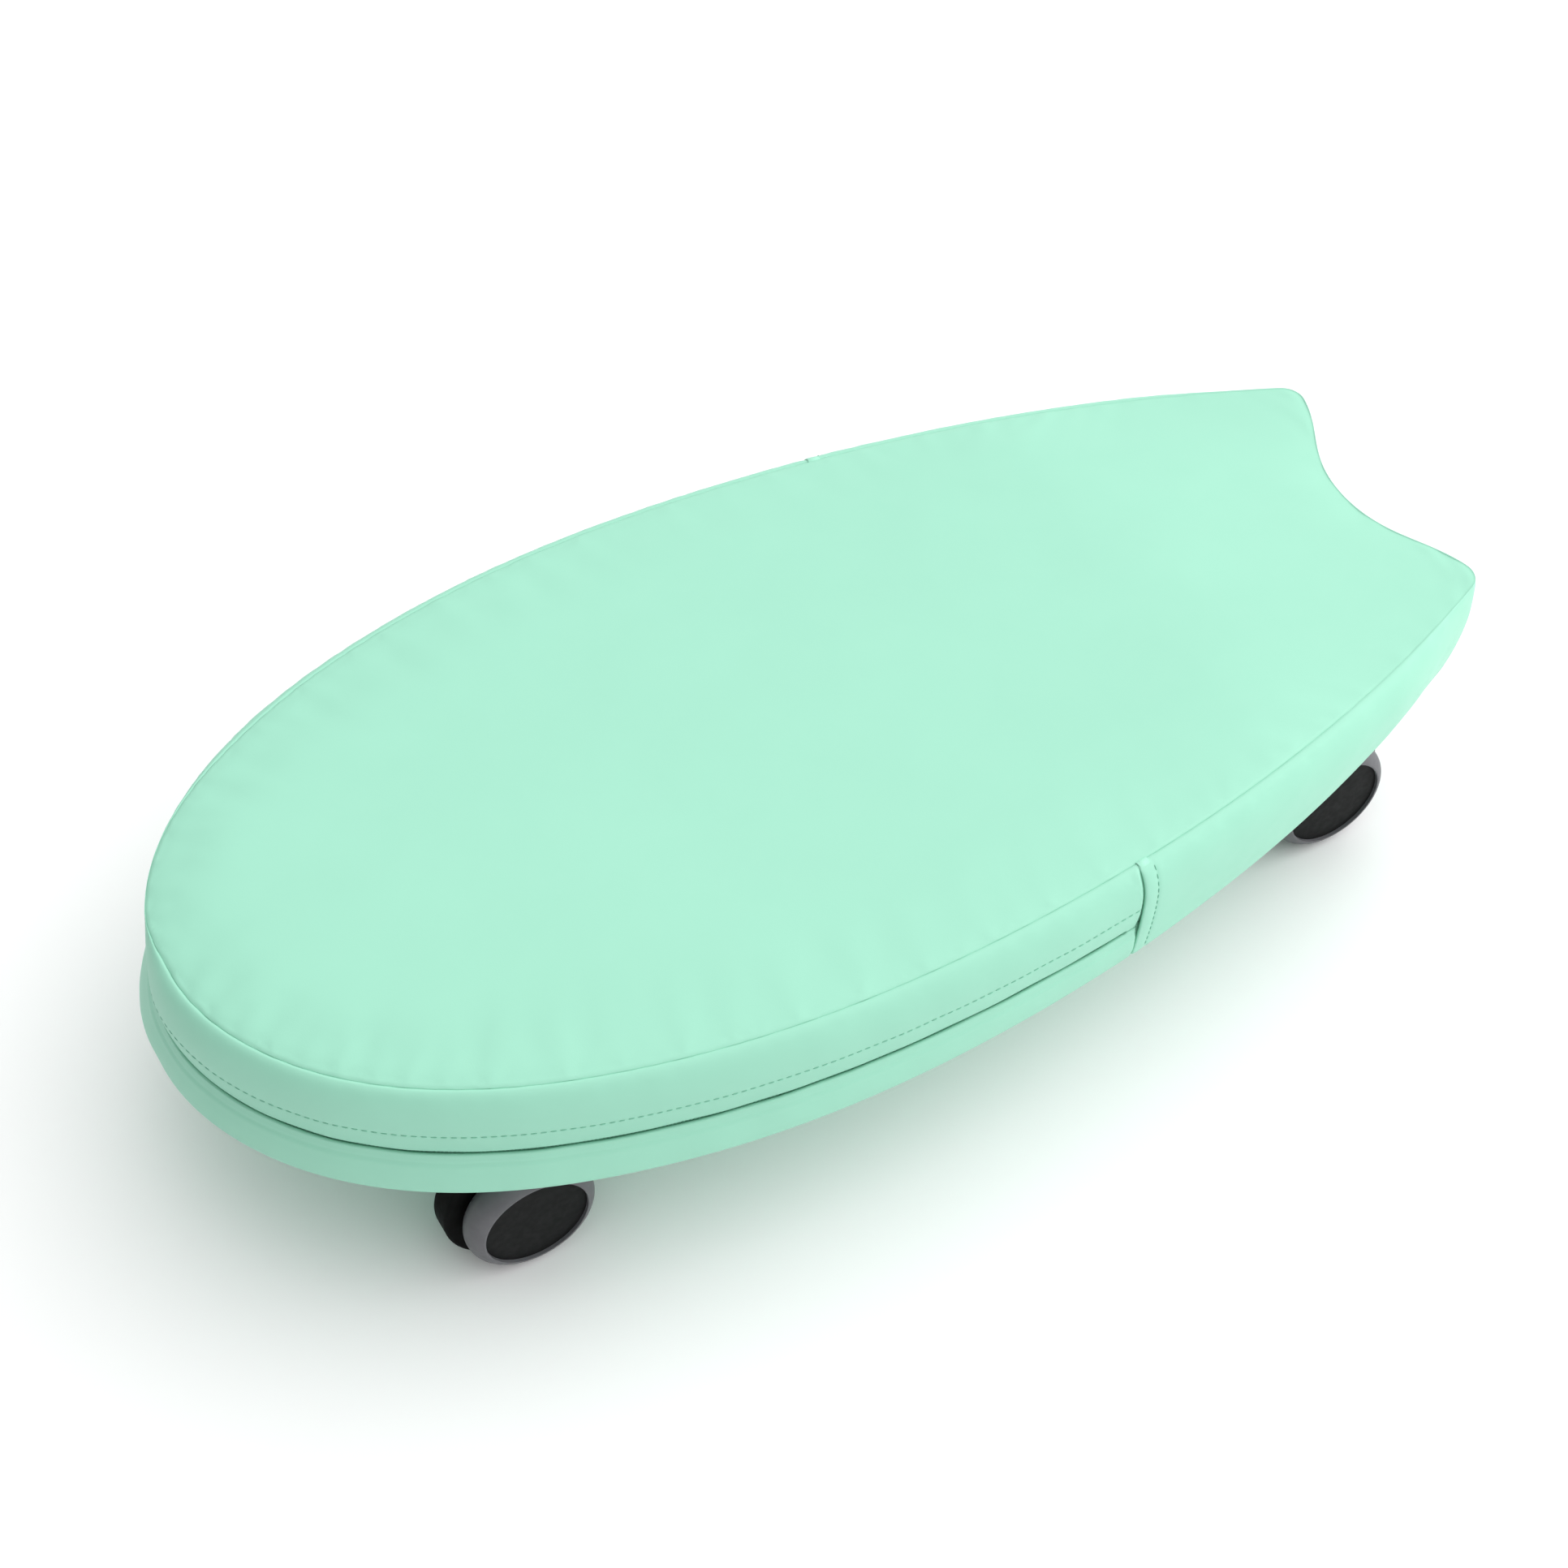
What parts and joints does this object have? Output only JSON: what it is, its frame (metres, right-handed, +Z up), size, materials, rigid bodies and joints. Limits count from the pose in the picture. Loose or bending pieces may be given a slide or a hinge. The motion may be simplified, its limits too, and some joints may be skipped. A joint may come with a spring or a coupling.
{
  "type": "padded rolling creeper board",
  "caption": "Surfboard-shaped padded board in a zipped leathercloth box cover over foam and a plywood deck, carried on twin-wheel swivel casters.",
  "frame": {"origin": "on the floor, below the middle of the board's length and width", "axes": "+X from nose to tail along the length, +Y to the right side seen from the tail, +Z up"},
  "size_m": [0.7706, 0.3835, 0.167],
  "materials": {
    "cover": "mint leathercloth, satin, fine grain",
    "foam": "open-cell foam",
    "plywood": "sanded birch plywood",
    "zip_tape": "woven tape, coil zip",
    "zinc": "zinc plated",
    "steel": "bright turned steel",
    "bronze": "sintered bronze",
    "hood": "black nylon, fine moulded grain",
    "wheel_core": "black nylon",
    "wheel_cap": "black nylon, satin",
    "tyre": "grey soft polyurethane"
  },
  "bodies": {
    "board": {"deck": "plywood", "foam_pad": "foam", "cover_top_panel": "cover", "cover_upper_strip": "cover", "cover_lower_strip": "cover", "cover_tail_band": "cover", "cover_bottom_panel": "cover", "zip_tape": "zip_tape", "zip_slider": "zinc", "zip_pull": "zinc", "t_nuts": "zinc", "stem_clips": "steel", "stem_front_left": "steel", "stem_front_right": "steel", "stem_rear_left": "steel", "stem_rear_right": "steel"},
    "caster_front_left": {"hood_front_left": "hood", "swivel_bush_front_left": "bronze", "axle_front_left": "steel", "axle_clips_front_left": "steel"},
    "wheel_front_left_outer": {"wheel_tyre_front_left_outer": "tyre", "wheel_core_front_left_outer": "wheel_core", "wheel_cap_front_left_outer": "wheel_cap"},
    "wheel_front_left_inner": {"wheel_tyre_front_left_inner": "tyre", "wheel_core_front_left_inner": "wheel_core", "wheel_cap_front_left_inner": "wheel_cap"},
    "caster_front_right": {"hood_front_right": "hood", "swivel_bush_front_right": "bronze", "axle_front_right": "steel", "axle_clips_front_right": "steel"},
    "wheel_front_right_outer": {"wheel_tyre_front_right_outer": "tyre", "wheel_core_front_right_outer": "wheel_core", "wheel_cap_front_right_outer": "wheel_cap"},
    "wheel_front_right_inner": {"wheel_tyre_front_right_inner": "tyre", "wheel_core_front_right_inner": "wheel_core", "wheel_cap_front_right_inner": "wheel_cap"},
    "caster_rear_left": {"hood_rear_left": "hood", "swivel_bush_rear_left": "bronze", "axle_rear_left": "steel", "axle_clips_rear_left": "steel"},
    "wheel_rear_left_outer": {"wheel_tyre_rear_left_outer": "tyre", "wheel_core_rear_left_outer": "wheel_core", "wheel_cap_rear_left_outer": "wheel_cap"},
    "wheel_rear_left_inner": {"wheel_tyre_rear_left_inner": "tyre", "wheel_core_rear_left_inner": "wheel_core", "wheel_cap_rear_left_inner": "wheel_cap"},
    "caster_rear_right": {"hood_rear_right": "hood", "swivel_bush_rear_right": "bronze", "axle_rear_right": "steel", "axle_clips_rear_right": "steel"},
    "wheel_rear_right_outer": {"wheel_tyre_rear_right_outer": "tyre", "wheel_core_rear_right_outer": "wheel_core", "wheel_cap_rear_right_outer": "wheel_cap"},
    "wheel_rear_right_inner": {"wheel_tyre_rear_right_inner": "tyre", "wheel_core_rear_right_inner": "wheel_core", "wheel_cap_rear_right_inner": "wheel_cap"}
  },
  "joints": [
    {"name": "swivel_front_left", "type": "hinge", "parent": "board", "child": "caster_front_left", "pos_m": [-0.27, -0.117, 0.087], "axis": [0, 0, 1], "continuous": true},
    {"name": "roll_front_left_outer", "type": "hinge", "parent": "caster_front_left", "child": "wheel_front_left_outer", "pos_m": [-0.245, -0.117, 0.0375], "axis": [0, 1, 0], "continuous": true},
    {"name": "roll_front_left_inner", "type": "hinge", "parent": "caster_front_left", "child": "wheel_front_left_inner", "pos_m": [-0.245, -0.117, 0.0375], "axis": [0, 1, 0], "continuous": true},
    {"name": "swivel_front_right", "type": "hinge", "parent": "board", "child": "caster_front_right", "pos_m": [-0.27, 0.117, 0.087], "axis": [0, 0, 1], "continuous": true},
    {"name": "roll_front_right_outer", "type": "hinge", "parent": "caster_front_right", "child": "wheel_front_right_outer", "pos_m": [-0.245, 0.117, 0.0375], "axis": [0, 1, 0], "continuous": true},
    {"name": "roll_front_right_inner", "type": "hinge", "parent": "caster_front_right", "child": "wheel_front_right_inner", "pos_m": [-0.245, 0.117, 0.0375], "axis": [0, 1, 0], "continuous": true},
    {"name": "swivel_rear_left", "type": "hinge", "parent": "board", "child": "caster_rear_left", "pos_m": [0.269, -0.08, 0.087], "axis": [0, 0, 1], "continuous": true},
    {"name": "roll_rear_left_outer", "type": "hinge", "parent": "caster_rear_left", "child": "wheel_rear_left_outer", "pos_m": [0.294, -0.08, 0.0375], "axis": [0, 1, 0], "continuous": true},
    {"name": "roll_rear_left_inner", "type": "hinge", "parent": "caster_rear_left", "child": "wheel_rear_left_inner", "pos_m": [0.294, -0.08, 0.0375], "axis": [0, 1, 0], "continuous": true},
    {"name": "swivel_rear_right", "type": "hinge", "parent": "board", "child": "caster_rear_right", "pos_m": [0.269, 0.08, 0.087], "axis": [0, 0, 1], "continuous": true},
    {"name": "roll_rear_right_outer", "type": "hinge", "parent": "caster_rear_right", "child": "wheel_rear_right_outer", "pos_m": [0.294, 0.08, 0.0375], "axis": [0, 1, 0], "continuous": true},
    {"name": "roll_rear_right_inner", "type": "hinge", "parent": "caster_rear_right", "child": "wheel_rear_right_inner", "pos_m": [0.294, 0.08, 0.0375], "axis": [0, 1, 0], "continuous": true}
  ]
}
